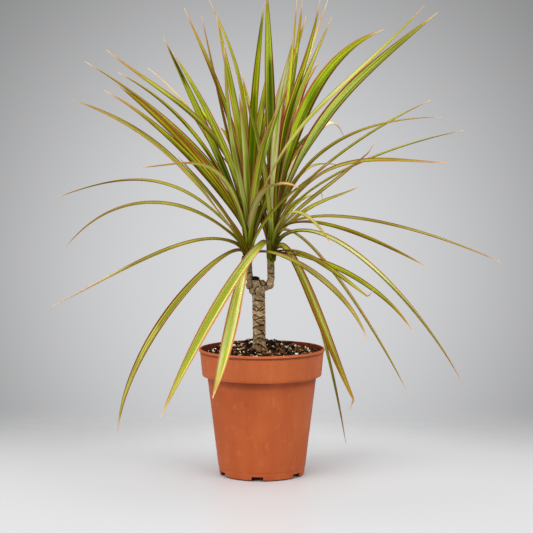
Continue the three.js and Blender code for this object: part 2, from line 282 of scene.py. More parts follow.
def potOutline(p):
    # Corners as radius and height. The small numbers round or chamfer a corner.
    foot, body, bodyEnd, collar, rim = p["foot"], p["bodyTop"], p["bodyTopHeight"], p["collarFoot"], p["rim"]
    wall, floor, gutter, top, lip = p["wall"], p["floor"], p["gutter"], p["height"], p["rim"] - p["lipReach"]
    ledge = p["resting"] + p["gutterSlope"]
    stepRadius = foot + (body - foot) / bodyEnd * p["stepHeight"]
    outside = [
        (foot - 1.4, 0), (foot - 0.2, 1.1),
        (stepRadius - p["step"], p["stepHeight"]), (stepRadius, p["stepHeight"] + p["step"]),
        (body - 0.3, bodyEnd - 1.5), (body + 0.2, bodyEnd + 1.4), (body + 1.6, collarEnd - 1.7),
        (collar - 1.1, collarEnd - 0.9), (collar - 0.25, collarEnd - 0.65), (collar, collarEnd + 0.1),
        (lip - 0.15, lipEnd - 0.7), (lip, lipEnd), (rim - 0.1, lipEnd + 0.35),
        (rim, lipEnd + 1.2), (rim - 0.3, top - 0.35), (rim - 0.9, top),
    ]
    inside = [
        (lip - wall + 0.4, top), (lip - wall, top - 0.5),
        (collar - wall, collarEnd + p["innerLift"]), (body - wall, bodyEnd + p["innerLift"]),
        (foot - wall + 1, gutter + floor), (ledge, gutter + floor), (p["resting"], floor), (0, floor),
    ]
    underneath = [(0, 0), (p["resting"], 0), (ledge, gutter), (foot - wall, gutter), (foot - wall, 0)]
    return outside, inside, underneath


def makePot(p):
    outside, inside, underneath = potOutline(p)
    piece = spun([*outside, *inside, *underneath, outside[0]], p["segments"])
    edge = {"width": p["edge"] * mm, "segments": 2, "limit_method": "ANGLE"}
    applyModifier(piece, "BEVEL", angle_limit=math.radians(p["roundedFrom"]), **edge)
    tube = {"vertices": p["drainSides"], "radius": p["drain"] * mm, "depth": p["drainDepth"] * mm}
    for i in range(p["notches"]):
        turn = Euler((0, 0, math.radians(p["firstNotch"] + 360 / p["notches"] * i)))
        atFoot, atDrain = (turn.to_matrix() @ Vector((p[reach] * mm, 0, 0)) for reach in ("foot", "drainCircle"))
        notch = addShape(bpy.ops.mesh.primitive_cube_add, size=1, location=atFoot, rotation=turn)
        notch.scale = (p["notchDepth"] * mm, p["notchWidth"] * mm, 2 * p["notchHeight"] * mm)
        drain = addShape(bpy.ops.mesh.primitive_cylinder_add, location=atDrain, **tube)
        for cutter in (notch, drain):
            applyModifier(piece, "BOOLEAN", object=cutter, operation="DIFFERENCE", solver="EXACT")
            removePiece(cutter)
    onlySelect(piece)
    bpy.ops.object.shade_smooth_by_angle(angle=math.radians(p["smoothTo"]))
    return piece


def wayTo(place, outline):
    # How far a point is from a line of points.
    ways = []
    for low, high in zip(outline, outline[1:]):
        low, high = Vector(low), Vector(high)
        share = clampShare((place - low).dot(high - low) / (high - low).length_squared)
        ways.append((place - low.lerp(high, share)).length)
    return min(ways)


def innerShare(piece, p):
    # 1 on the inner wall and floor, 0 on the outside and underneath
    outside, inside, underneath = potOutline(p)
    lowest, clear = p["floor"] - 0.5, 0.8
    shares = []
    for vertex in piece.data.vertices:
        x, y, z = vertex.co / mm
        place = Vector((math.hypot(x, y), z))
        isInner = z > lowest and wayTo(place, inside[1:]) < wayTo(place, outside)
        isInner = isInner and wayTo(place, underneath) > clear
        shares.append(float(isInner))
    return shares


# The finish is laid up in this order: how strongly each layer covers, and its colour on a screen.
potLayers = {
    "streaks": (0.6, (192, 100, 51)), "clouds": (0.5, (166, 77, 36)), "collar": (0.3, (206, 112, 62)),
    "chalk": (0.2, (212, 134, 92)), "scuffs": (0.22, (146, 66, 32)), "lipShadowAndDirt": (0.75, (104, 40, 20)),
    "underCollar": (1.0, (112, 46, 22)), "contactShadow": (0.8, (58, 24, 12)),
}
potInside = {"dust": (0.8, (50, 26, 16))}
# Each pattern's scale and detail, where it begins and is full, and how far it is drawn out upwards.
potPatches = {
    "streaks": (70, 4.0, 0.32, 0.7, 0.12), "clouds": (24, 5.0, 0.32, 0.7), "chalk": (150, 6.0, 0.54, 0.74, 0.6),
    "scuffs": (260, 4.0, 0.6, 0.7, 0.5), "dust": (420, 3.0, 0.46, 0.64),
}


def paintPot():
    paint = Paint("terracottaPlastic", Specular_IOR_Level=0.22)
    place = paint.place()
    height = paint.height(place)
    grain = paint.noise(place, 900, 2.0)
    crumbled = paint.noise(place, 520, 3.0)
    masks = {name: paint.patches(place, *pattern) for name, pattern in potPatches.items()}
    clouds = masks["clouds"]
    # the collar is painted paler, as painted light; a painted shadow line with some dirt runs under its lip, a
    # painted shadow lies under the collar's foot, and a painted contact shadow at the pot's foot
    # the collar is painted paler, as painted light
    masks["collar"] = height.step(collarEnd - 0.5, collarEnd + 3)
    # a painted shadow line, with some dirt, under the lip
    underLip = (height + crumbled * 1.6).step(lipEnd - 1.1, lipEnd - 0.2)
    masks["lipShadowAndDirt"] = underLip * height.step(lipEnd + 0.8, lipEnd + 0.3)
    underCollar = height.step(collarEnd - 10, collarEnd - 3.5) * height.step(collarEnd - 0.4, collarEnd - 1.2)
    masks["underCollar"] = underCollar * (0.3 + 0.4 * clouds)
    # a painted contact shadow at the pot's foot
    masks["contactShadow"] = (height + crumbled * 0.8).step(2.2, 0.9)
    outside = paint.layOver((177, 84, 38), potLayers, masks)
    # the inner wall and floor are painted darker than the outside, as painted shade, with dust over them
    inside = paint.layOver((124, 46, 22), potInside, masks)
    colour = paint.mix(paint.attribute("inner"), outside, inside)
    paint.bump(grain * 0.5 + clouds * 0.5, 0.22, 0.35 * mm)
    return paint.finish(Base_Color=colour, Roughness=0.46 + 0.14 * clouds + 0.1 * grain)


potPiece = makePot(pot)
pointAttribute(potPiece, "inner", innerShare(potPiece, pot))
dress(potPiece, "nursery_pot", paintPot(), "pot")


# ---- soil

soil = {
    "edgeHeight": 113, "mound": 6, "spread": 30, "back": 10,
    "heap": 5.2, "heapBack": 37, "heapLeft": 3, "heapDepth": 12, "heapWidth": 24,
    # two sizes of lumps: how long, how high and from which level of the noise
    "lumps": [(7, 1.7, 3), (2.6, 1.02, 9)],
    "rings": 54, "segments": 180, "gap": 0.3, "wallSlope": 0.088,
    "clearance": 8.5, "rimGap": 3, "sliverTilt": 0.5, "seed": 11,
    # crumbs stuck to the back wall: how many, at which angle and spread, at which heights, how big
    "stuck": 64, "stuckAngle": (92, 24), "stuckHeight": (114.5, 120.6), "stuckSize": (1.0, 2.4),
}
# Loose grains: the least and most of each one's three sizes, how far it is lifted for each millimetre of
# its height, and its dark, middle and light colours.
grains = {
    "crumb": {
        "piece": "soil_crumbs", "count": 1350, "sizes": [(1.6, 6.0), (1.4, 4.4), (1.3, 3.8)], "lift": 0.4,
        "paint": "soilCrumb", "rough": 0.95, "colours": [(7, 4, 2), (40, 22, 11), (112, 72, 40)],
    },
    "sliver": {
        "piece": "bark_slivers", "count": 230, "sizes": [(2.4, 7.5), (0.8, 1.9), (0.5, 1.1)], "lift": 1.9,
        "paint": "barkSliver", "rough": 0.85, "colours": [(66, 36, 16), (140, 88, 46), (216, 172, 118)],
    },
    "perlite": {
        "piece": "perlite_grains", "count": 140, "sizes": [(1.4, 4.4), (1.2, 3.1), (1.0, 2.3)], "lift": 0.8,
        "paint": "perliteWhite", "rough": 0.8, "colours": [(190, 174, 142), (236, 226, 204), (252, 248, 238)],
    },
}


def soilHeight(x, y):
    away = x * x + (y - soil["back"]) ** 2
    height = soil["edgeHeight"] + soil["mound"] * math.exp(-away / (2 * soil["spread"] ** 2))
    heap = ((y - soil["heapBack"]) / soil["heapDepth"]) ** 2 + ((x + soil["heapLeft"]) / soil["heapWidth"]) ** 2
    height += soil["heap"] * math.exp(-heap / 2)
    for length, strength, level in soil["lumps"]:
        height += strength * noise.noise(Vector((x, y, level)) / length)
    return height


def makeSoilBody():
    # Fills the pot, a small gap inside its walls.
    p, gap, wall, floor = pot, soil["gap"], pot["wall"], pot["floor"]
    edge = p["collarFoot"] - wall - gap + soil["wallSlope"] * (soil["edgeHeight"] - collarEnd) - gap
    lift = p["innerLift"] + gap / 2
    walls = [
        (0, floor + gap), (p["resting"] - gap, floor + gap),
        (p["resting"] + p["gutterSlope"] - gap, p["gutter"] + floor + gap),
        (p["foot"] - wall + 1 - gap, p["gutter"] + floor + gap),
        (p["bodyTop"] - wall - gap, p["bodyTopHeight"] + lift), (p["collarFoot"] - wall - gap, collarEnd + lift),
    ]
    top = [(edge * (1 - i / soil["rings"]), soil["edgeHeight"]) for i in range(soil["rings"] + 1)]
    piece = spun([*walls, *top], soil["segments"])
    for vertex in piece.data.vertices:
        if vertex.co.z > (soil["edgeHeight"] - 0.5) * mm:
            vertex.co.z = soilHeight(vertex.co.x / mm, vertex.co.y / mm) * mm
    onlySelect(piece)
    bpy.ops.object.shade_smooth()
    return piece, edge


def makeGrain(kind):
    if kind == "sliver":
        grain = addShape(bpy.ops.mesh.primitive_cube_add, size=mm)
        bpy.ops.object.mode_set(mode="EDIT")
        bpy.ops.mesh.subdivide(number_cuts=2, fractal=0.35, seed=3)
    else:
        fineness = 2 if kind == "perlite" else 1
        grain = addShape(bpy.ops.mesh.primitive_ico_sphere_add, subdivisions=fineness, radius=0.5 * mm)
        bpy.ops.object.mode_set(mode="EDIT")
        bpy.ops.transform.vertex_random(offset=0.24 * mm, seed=5)
    bpy.ops.object.mode_set(mode="OBJECT")
    return grain


def grainMatrix(place, turn, size):
    return Matrix.Translation(Vector(place) * mm) @ turn.to_matrix().to_4x4() @ Matrix.Diagonal((*size, 1))


def scatter(kind, edge, draw):
    # Copies of one grain over the soil: clear of the cane, turned at random and partly sunk.
    grain = makeGrain(kind)
    values = grains[kind]
    tilt = soil["sliverTilt"] if kind == "sliver" else math.pi
    copies, tones = [], []
    for _ in range(values["count"]):
        angle = draw.uniform(0, 2 * math.pi)
        reach = soil["clearance"] + (edge - soil["rimGap"] - soil["clearance"]) * math.sqrt(draw.random())
        x, y = polar(reach, angle)
        size = [draw.uniform(low, high) for low, high in values["sizes"]]
        turn = Euler((draw.uniform(-tilt, tilt), draw.uniform(-tilt, tilt), draw.uniform(0, 2 * math.pi)))
        height = soilHeight(x, y) + size[2] * values["lift"]
        copies.append(copyOf(grain, grainMatrix((x, y, height), turn, size)))
        tones += [draw.random()] * len(grain.data.vertices)
    removePiece(grain)
    joined = joinPieces(copies)
    pointAttribute(joined, "tone", tones)
    return joined


def stickDirt(joined, edge, draw):
    # Damp crumbs that cling to the back of the pot's wall, above the soil.
    grain = makeGrain("crumb")
    copies, tones = [joined], [datum.value for datum in joined.data.attributes["tone"].data]
    for _ in range(soil["stuck"]):
        angle = math.radians(draw.gauss(*soil["stuckAngle"]))
        size = [draw.uniform(*soil["stuckSize"]) for _ in range(3)]
        height = draw.uniform(*soil["stuckHeight"])
        reach = edge + soil["wallSlope"] * (height - soil["edgeHeight"]) + 0.2
        turn = Euler([draw.uniform(-math.pi, math.pi) for _ in range(3)])
        copies.append(copyOf(grain, grainMatrix((*polar(reach, angle), height), turn, size)))
        tones += [draw.random() * 0.5] * len(grain.data.vertices)
    removePiece(grain)
    joined.data.attributes.remove(joined.data.attributes["tone"])
    joined = joinPieces(copies)
    pointAttribute(joined, "tone", tones)
    return joined


def paintGrains(name, dark, mid, light, rough):
    paint = Paint(name, Roughness=rough, Specular_IOR_Level=0.15)
    tone = paint.attribute("tone")
    colour = paint.mix(tone.step(0.0, 0.7), dark, mid)
    colour = paint.mix(tone.step(0.6, 1.0), colour, light)
    fleck = paint.noise(paint.place(), 1500, 3.0)
    colour = paint.mix(fleck.step(0.45, 0.7) * 0.5, colour, dark)
    paint.bump(fleck, 0.6, 0.4 * mm)
    return paint.finish(Base_Color=colour)


def paintSoil():
    paint = Paint("pottingMix", Roughness=0.95, Specular_IOR_Level=0.1)
    place = paint.place()
    crumb = paint.noise(place, 700, 5.0)
    patch = paint.noise(place, 190, 4.0)
    colour = paint.mix(crumb.step(0.35, 0.65), (16, 10, 7), (52, 34, 21))
    colour = paint.mix(patch.step(0.6, 0.74) * 0.4, colour, (88, 56, 32))
    paint.bump(crumb, 1.0, 1.2 * mm)
    return paint.finish(Base_Color=colour)


draw = random.Random(soil["seed"])
soilPiece, soilEdge = makeSoilBody()
dress(soilPiece, "potting_mix", paintSoil(), "soil")
for kind, values in grains.items():
    loose = scatter(kind, soilEdge, draw)
    if kind == "crumb":
        loose = stickDirt(loose, soilEdge, draw)
    dress(loose, values["piece"], paintGrains(values["paint"], *values["colours"], values["rough"]))


# ---- trunk

trunk = {
    "cane": [(-2.2, 0, 60), (-2.3, 0, 122), (-2.7, 0, 150), (-3.2, 0, 180)], "caneRadius": 6.1,
    "left": [(-6, 0, 180), (-10.8, 0, 184.6), (-12.6, 0, 192), (-12.8, 0, 203)],
    "right": [(0, 0, 179), (5.8, 0, 180.6), (9.0, 0, 186.6), (8.5, 0, 193), (8.6, 0, 201.5)],
    "branchRadius": 3.5,
    "lumps": [
        (-11.0, -0.8, 181.0, 4.3), (-5.2, -3.4, 182.6, 3.7), (-2.0, -2.6, 176.6, 5.3), (0.6, -1.8, 183.4, 3.2),
        (7.4, -0.2, 181.4, 4.2), (-8.0, -1.8, 176.6, 4.4), (3.6, 0.2, 179.6, 4.0), (-4.0, 3.4, 180.0, 5.4),
        (-9.4, 3.0, 181.6, 4.0),
    ],
    "core": [(-3.2, 0, 178.5, 6.4), (-6.2, 0, 182.0, 4.6)],
    "roots": [
        (-7.4, -2.6, 121.0, 3.0), (-9.4, -3.2, 118.2, 2.6), (-4.6, -5.4, 119.0, 2.8), (2.8, -3.4, 119.0, 3.0),
        (-1.0, 5.0, 119.4, 3.2),
    ],
    "rootSquash": 1.3, "stub": (-6.0, -1.1, 184.0), "stubTop": 187.0, "stubRadius": 4.3, "stubSquash": 0.68,
    "voxel": 0.4,
    # three families of slanting scars: pitch, rise per radian (a whole number of pitches in a turn), seed
    "scars": [(6.7, 3.2, 1), (8.17, -2.6, 7), (9.3, 0.0, 15)], "wobble": 2.6, "wobbleLength": 7,
    # scars come and go: how much of each there is, and how sharply it ends; and the grain's sizes and depths
    "present": 0.42, "presentEnds": 1.9, "grain": [(1.5, 0.2), (0.6, 0.12)],
    "caneMiddle": -2.7,
    # each scar's raised edge and the groove under it: where, how wide, how deep
    "ridgeAt": 0.25, "ridgeWidth": 0.5, "ridge": 0.42, "grooveAt": -0.65, "grooveWidth": 0.55, "groove": 0.62,
    # the knob swells in and out between these heights, and the branches' scars start above it
    "knobIn": (170.5, 174), "knobOut": (185.5, 188.5), "branchesFrom": 186, "besideStub": 3.2,
    # each branch's middle and pattern offset, how much closer its scars are and how deep
    "branchMiddles": {"left": (-12.7, 80), "right": (8.6, 40)}, "branchPitch": 1.25, "branchDepth": 0.6,
}


def tubeAlong(points, radius, sides=20):
    rope = addShape(bpy.ops.curve.primitive_nurbs_path_add)
    rope.data.splines.clear()
    spline = rope.data.splines.new("NURBS")
    spline.points.add(len(points) - 1)
    for point, place in zip(spline.points, points):
        point.co = (*[part * mm for part in place], 1)
    spline.use_endpoint_u = True
    spline.order_u = 3
    rope.data.bevel_depth = radius * mm
    rope.data.bevel_resolution = sides // 4
    rope.data.use_fill_caps = True
    bpy.ops.object.convert(target="MESH")
    return bpy.context.object


def lump(x, y, z, radius, squash=1.0):
    ball = {"subdivisions": 4, "radius": radius * mm, "location": (x * mm, y * mm, z * mm)}
    piece = addShape(bpy.ops.mesh.primitive_ico_sphere_add, **ball)
    piece.scale = (1, 1, squash)
    return piece


def scarLines(angle, height, offset=0.0):
    # How much ridge and groove there is here, and which scale between the lines this is.
    ridge, groove, scale = 0.0, 0.0, 0
    cosine, sine = math.cos(angle), math.sin(angle)
    for pitch, rise, seed in trunk["scars"]:
        spot = Vector((cosine * 0.9, sine * 0.9, height / trunk["wobbleLength"] + seed * 9 + offset))
        level = (height + rise * angle + trunk["wobble"] * noise.noise(spot)) / pitch
        line = round(level)
        away = (level - line) * pitch
        spot = Vector((cosine * 1.1, sine * 1.1, line * 3.7 + seed + offset))
        present = clampShare((noise.noise(spot) + trunk["present"]) * trunk["presentEnds"])
        ridge = max(ridge, present * hump(away, trunk["ridgeAt"], trunk["ridgeWidth"]))
        groove = max(groove, present * hump(away, trunk["grooveAt"], trunk["grooveWidth"]))
        scale = scale * 17 + math.floor(level)
    return ridge, groove, (scale * goldenShare) % 1


def makeTrunk(t):
    x, y, z = t["stub"]
    pieces = [tubeAlong(t["cane"], t["caneRadius"], 32)]
    pieces += [tubeAlong(t[side], t["branchRadius"]) for side in ("left", "right")]
    pieces += [lump(*place) for place in t["lumps"] + t["core"]]
    pieces += [lump(*place, t["rootSquash"]) for place in t["roots"]]
    stub = {"radius": t["stubRadius"] * mm, "depth": 2 * (t["stubTop"] - z) * mm}
    pieces.append(addShape(bpy.ops.mesh.primitive_cylinder_add, location=(x * mm, y * mm, z * mm), **stub))
    pieces.append(lump(x, y, t["stubTop"], t["stubRadius"] * 0.98, t["stubSquash"]))
    piece = joinPieces(pieces)
    placeInMesh(piece)
    applyModifier(piece, "REMESH", mode="VOXEL", voxel_size=t["voxel"] * mm, use_smooth_shade=True)
    applyModifier(piece, "SMOOTH", factor=0.5, iterations=3)
    return piece


def creaseAt(place):
    # 1 where two lumps of the knob meet, 0 on a lump; and a number of its own for the nearer lump
    gaps = sorted(((place - Vector(each[:3])).length - each[3], i) for i, each in enumerate(trunk["lumps"]))
    uneven = clampShare(0.75 + 0.9 * noise.noise(place / 2.2))
    meet = hump(gaps[1][0] - gaps[0][0], 0, 0.7) * uneven
    return meet, (gaps[0][1] * goldenShare + 0.2) % 1


def carveBark(piece, t):
    # Moves each vertex along its normal for the scars, and keeps what the paint needs.
    normals = [vertex.normal.copy() for vertex in piece.data.vertices]
    kept = {"ridge": [], "groove": [], "cut": [], "scale": []}
    stubX, stubY, _ = t["stub"]
    for vertex, normal in zip(piece.data.vertices, normals):
        place = vertex.co / mm
        x, y, z = place
        depth, cut = 1.0, 0.0
        if z > t["branchesFrom"] and abs(x - stubX) > t["besideStub"]:
            middle, offset = t["branchMiddles"]["right" if x > 0 else "left"]
            ridge, groove, scale = scarLines(math.atan2(y, x - middle), z * t["branchPitch"], offset)
            depth = t["branchDepth"]
        else:
            ridge, groove, scale = scarLines(math.atan2(y, x - t["caneMiddle"]), z)
            if math.hypot(x - stubX, y - stubY) < t["stubRadius"] + 0.5:
                cut = easeShare(z, t["stubTop"] - 1.1, t["stubTop"] - 0.5)
        knob = easeShare(z, *t["knobIn"]) * (1 - easeShare(z, *t["knobOut"]))
        if knob > 0:
            meet, lumpTone = creaseAt(place)
            ridge = ridge * (1 - knob) + knob * 0.7 * max(0, meet - 0.25) * (1 - meet) * 4
            groove = groove * (1 - knob) + knob * meet
            scale = lumpTone if knob > 0.5 else scale
        rough = sum(noise.noise(place / size) * deep for size, deep in t["grain"])
        move = (ridge * t["ridge"] - groove * t["groove"]) * depth * (1 - cut) + rough
        vertex.co += normal * move * mm
        found = {"ridge": ridge * (1 - cut), "groove": groove * (1 - cut), "cut": cut, "scale": scale}
        for name, value in found.items():
            kept[name].append(value)
    for name, values in kept.items():
        pointAttribute(piece, name, values)


barkLayers = {
    "weathered": (0.55, (112, 80, 42)), "bleached": (0.6, (214, 200, 170)), "flecks": (0.5, (74, 48, 22)),
    "ridges": (1.0, (184, 118, 44)), "rust": (0.6, (168, 104, 40)), "grooves": (1.0, (30, 15, 5)),
    "branches": (0.4, (88, 62, 24)), "knob": (0.25, (132, 84, 36)), "cut": (1.0, (17, 13, 11)),
}


def paintBark():
    paint = Paint("dracaenaBark", Roughness=0.86, Specular_IOR_Level=0.12)
    place = paint.place()
    height = paint.height(place)
    patch = paint.noise(place, 420, 3.0)
    fine = paint.noise(paint.stretched(place, 0.5), 1300, 4.0)
    rust = paint.patches(place, 230, 2.0, 0.4, 0.58)
    masks = {
        "weathered": patch.step(0.42, 0.66), "bleached": patch.step(0.48, 0.3), "flecks": fine.step(0.52, 0.75),
        "ridges": paint.attribute("ridge").step(0.2, 0.8) * (0.4 + 0.6 * rust),
        "rust": rust * paint.patches(place, 150, 2.0, 0.55, 0.68),
        "grooves": paint.attribute("groove").step(0.12, 0.6) * (0.78 + 0.22 * patch),
        "branches": height.step(183, 190),
        "knob": height.step(171, 175) * height.step(189, 184) * rust,
        "cut": paint.attribute("cut"),
    }
    scales = paint.mix(paint.attribute("scale"), (112, 90, 56), (204, 184, 148))
    paint.bump(fine, 0.5, 0.5 * mm)
    return paint.finish(Base_Color=paint.layOver(scales, barkLayers, masks))


trunkPiece = makeTrunk(trunk)
carveBark(trunkPiece, trunk)
dress(trunkPiece, "woody_cane", paintBark(), "trunk")


# ---- shoots and leaves

shoots = {
    "left": [(-12.8, 0, 202.4), (-13.2, 0, 214), (-12.2, 0, 234), (-11.2, 0, 252)],
    "right": [(8.6, 0, 200.5), (8.4, 0.5, 214), (9.8, 1.5, 234), (11.4, 2.5, 255)],
    "radii": [3.3, 4.9, 4.2, 2.6], "sunk": 1.2, "ripple": 0.03, "rippleRate": 2.1,
    "firstLeaf": 207, "lastDepth": 2, "lowestFoot": 203.5,
}
blade = {
    "along": 60, "across": 8, "thickness": 0.5, "widen": 0.96, "smoothTo": 60,
    # the outline, by shares of the length: a neck, the full width, then a taper to the point
    "neckShare": 0.7, "neckStation": 0.1, "fullStation": 0.46,
    "taperStation": 0.48, "taperPower": 1.9, "point": 0.05,
    # the section: a fold along the midrib, deeper where the foot clasps the shoot
    "fold": 0.16, "baseFold": 0.2, "foldStations": (0.02, 0.16),
    # the line: its handle at the tip, and where it joins the solid's, has rolled over and may turn down
    "tipHandle": 0.4, "joinStation": 0.12, "rollStation": 0.4, "kinkStation": 0.95, "firstRoll": 0.2, "curl": 12,
    # the clasping foot: how far below the solid's root it starts, and how it leans out
    "baseDrop": 7, "dropGrowth": 0.5, "claspRadius": 3.0, "lean": 0.12, "footHandle": 0.45, "joinHandle": 0.38,
}
# Each row starts with the leaf's look in digits from 0 to 9: light green, pale stripes, red margins, withered
# tip, brown wash, breadth. The numbers are the same as in the solids: tip x, y, z, rise, hold, fall, width,
# roll and kink.
leftLeaves = [
    ("367526", 95, -105, 143, 64, 25, 62, 7, 15),
    ("873539", -43, -130, 94, -20, 30, 35, 9.5, -35),
    ("358345", -129, -110, 60, 66, 33, 84, 9, -20),
    ("444968", -214, 120, 148, 46, 56, 24, 7, -24),
    ("657652", -163, -130, 356, 49, 98, -16, 9.5, -70),
    ("544566", -202, 130, 206, 42, 86, 46, 7, -14),
    ("976656", 31, -190, 283, 88, 60, 4, 8, 5),
    ("434574", -212, 150, 257, 44, 112, 17, 7, -14),
    ("528386", -131, -90, 372, 86, 38, -32, 10, -65),
    ("653516", -103, -170, 299, 67, 108, 0, 6, 10),
    ("229623", -150, 20, 366, 86, 24, -28, 9.5, -50),
    ("215525", -45, 190, 330, 60, 95, -8, 8, 10),
    ("662302", 143, -110, 439, 76, 116, -43, 9.5, 60),
    ("237435", -172, 60, 394, 86, 50, -28, 8, -12),
    ("236623", -150, 40, 405, 86, 106, -37, 9, -40),
    ("312336", -146, 130, 385, 62, 86, -20, 7, 5),
    ("525425", -75, 160, 360, 60, 95, -20, 8, 0),
    ("124204", -96, 60, 418, 66, 50, -59, 9.5, -30),
    ("942416", -83, -20, 401, 86, 34, -56, 9, -55),
    ("538713", -117, 150, 390, 54, 95, -23, 6, 0),
    ("845436", 13, -90, 347, 60, 90, -35, 8, 20),
    ("965616", -20, -80, 362, 70, 90, -46, 8, -30),
    ("265506", -33, -90, 405, 50, 95, -84, 7, -30),
    ("525425", 11, 75, 364, 72, 70, -40, 7, 20),
    ("935421", -20, 170, 380, 65, 95, -25, 8, -10),
    ("517206", 2, -25, 446, 86, 96, -77, 9, 5),
    ("744416", -43, 20, 438, 86, 64, -77, 8.5, -25),
    ("334516", 9, 70, 401, 78, 80, -60, 7, 20),
    ("327646", -55, -40, 434, 68, 64, -74, 7, -45),
    ("733542", -51, 50, 453, 88, 118, -52, 5.5, -40),
    ("327645", -74, 30, 444, 80, 86, -63, 7.5, -20),
]
rightLeaves = [
    ("447585", 88, -90, 76, 72, 60, 52, 9.5, 50, 65),
    ("026545", 135, -120, 151, 48, 17, 49, 8, 20),
    ("136546", 99, -130, 180, 28, 42, 20, 7, 10, -60),
    ("745565", 85, 100, 11, 42, 54, 74, 6, 20),
    ("765416", 147, 120, 63, 84, 76, 56, 8, 40),
    ("465608", 200, 80, 76, 60, 74, 60, 8.5, 35),
    ("016462", 144, -150, 212, 82, 52, 19, 8, 25),
    ("347263", 97, -170, 317, 84, 26, -27, 9, 60, -15),
    ("463541", 60, -180, 233, 55, 60, 24, 7, 35),
    ("346664", 238, 80, 196, 78, 54, 24, 7, 28),
    ("973437", -87, -160, 82, 52, 24, 50, 9.5, -55),
    ("442816", 64, 140, 264, 34, 84, -6, 6, 10, 75),
    ("744543", 100, 170, 267, 24, 86, -9, 7.5, 15),
    ("644422", 80, 170, 290, 52, 90, 5, 8, 0),
    ("326332", 202, 100, 327, 70, 52, -9, 7, 10),
    ("436662", 182, 120, 340, 74, 92, 0, 7.5, 20),
    ("547672", 165, -110, 301, 60, 100, 1, 8.5, 45),
    ("424454", 170, 120, 357, 76, 40, -19, 6, 0),
    ("992208", 84, 140, 318, 80, 34, 54, 7.5, 50),
    ("954424", 55, 200, 320, 62, 95, -5, 8, -10),
    ("345309", 168, 30, 440, 72, 114, -38, 9, 50),
    ("782406", 29, -60, 414, 86, 116, -55, 8, 20),
    ("525408", 119, 60, 425, 80, 62, -16, 10.5, 60),
    ("434424", 30, 190, 350, 66, 95, -15, 8, 10),
    ("969516", 58, 90, 396, 60, 100, -29, 7, 30),
    ("327307", 54, -15, 449, 86, 118, -80, 9, 60),
    ("334308", 5, 10, 463, 88, 44, -88, 9, -10),
    ("546404", 66, 15, 435, 88, 80, -67, 8.5, 45),
    ("324425", 25, 150, 390, 70, 95, -35, 8, 10),
    ("213415", 8, 40, 428, 86, 72, -75, 6, -40),
    ("834506", 33, 20, 451, 78, 58, -85, 7, 0),
    ("734516", 39, 50, 453, 80, 90, -80, 6, 30),
    ("336426", 43, 60, 438, 88, 118, -60, 6, 35),
    ("893507", 63, 40, 452, 77, 104, -67, 7, 5),
]



# Twelve more leaves in the middle, which the solids leave out. Each row starts with its height on the shoot.
leftInner = [
    (222, "427524", 40, 45, 352, 78, 60, -50, 8, 20),
    (218, "646314", 62, 25, 338, 66, 62, -36, 8.5, 30),
    (228, "665424", 22, 60, 388, 82, 70, -66, 8, 15),
    (232, "754204", 24, -50, 372, 76, 60, -60, 7, 10),
    (216, "647534", 48, 60, 318, 70, 50, -30, 7.5, 20),
    (212, "236525", 62, -50, 300, 62, 60, -38, 8, 15),
    (213, "326524", 36, 55, 300, 66, 60, -50, 8, 10),
    (211, "338147", -74, -100, 306, 52, 50, -34, 9, -40),
]
rightInner = [
    (220, "646414", -38, 50, 348, 72, 62, -42, 8, -20),
    (228, "545524", -20, 70, 384, 80, 70, -60, 8, -15),
    (224, "654314", -14, -60, 360, 82, 60, -52, 7, -10),
    (215, "636524", -44, 70, 306, 66, 50, -28, 7, -20),
]


def axisPoint(axis, height):
    for low, high in zip(axis, axis[1:]):
        if height <= high[2] or high is axis[-1]:
            share = (height - low[2]) / (high[2] - low[2])
            return Vector(low).lerp(Vector(high), share)


def bladeWidth(share):
    neck = blade["neckShare"]
    base = neck + (1 - neck) * easeShare(share, blade["neckStation"], blade["fullStation"])
    taper = max(0, (share - blade["taperStation"]) / (1 - blade["taperStation"]))
    return max(base * (1 - taper ** blade["taperPower"]), blade["point"])


def makeBlade():
    # One flat strip, one unit long and wide, narrowed to its outline and folded along its midrib.
    cells = {"x_subdivisions": blade["along"], "y_subdivisions": blade["across"]}
    strip = addShape(bpy.ops.mesh.primitive_grid_add, size=1, location=(0.5, 0, 0), **cells)
    placeInMesh(strip)
    strip.data.uv_layers[0].name = "blade"
    for vertex in strip.data.vertices:
        across = abs(2 * vertex.co.y)
        width = bladeWidth(vertex.co.x)
        clasp = blade["baseFold"] * (1 - easeShare(vertex.co.x, *blade["foldStations"]))
        vertex.co.y *= width * (1 - 0.25 * clasp * across)
        fold = blade["fold"] * (2 * across ** 1.25 - 0.28 * across ** 4 - 0.9)
        vertex.co.z = width * (fold + clasp * (across ** 2 - 0.4))
    return strip


def cutArc(points, share):
    # Splits four Bezier points in two at a share of the way.
    a = [first.lerp(second, share) for first, second in zip(points, points[1:])]
    b = [first.lerp(second, share) for first, second in zip(a, a[1:])]
    middle = b[0].lerp(b[1], share)
    return [points[0], a[0], b[0], middle], [middle, b[1], a[2], points[3]]


def heading(degrees):
    angle = math.radians(degrees)
    return Vector((math.cos(angle), 0, math.sin(angle)))


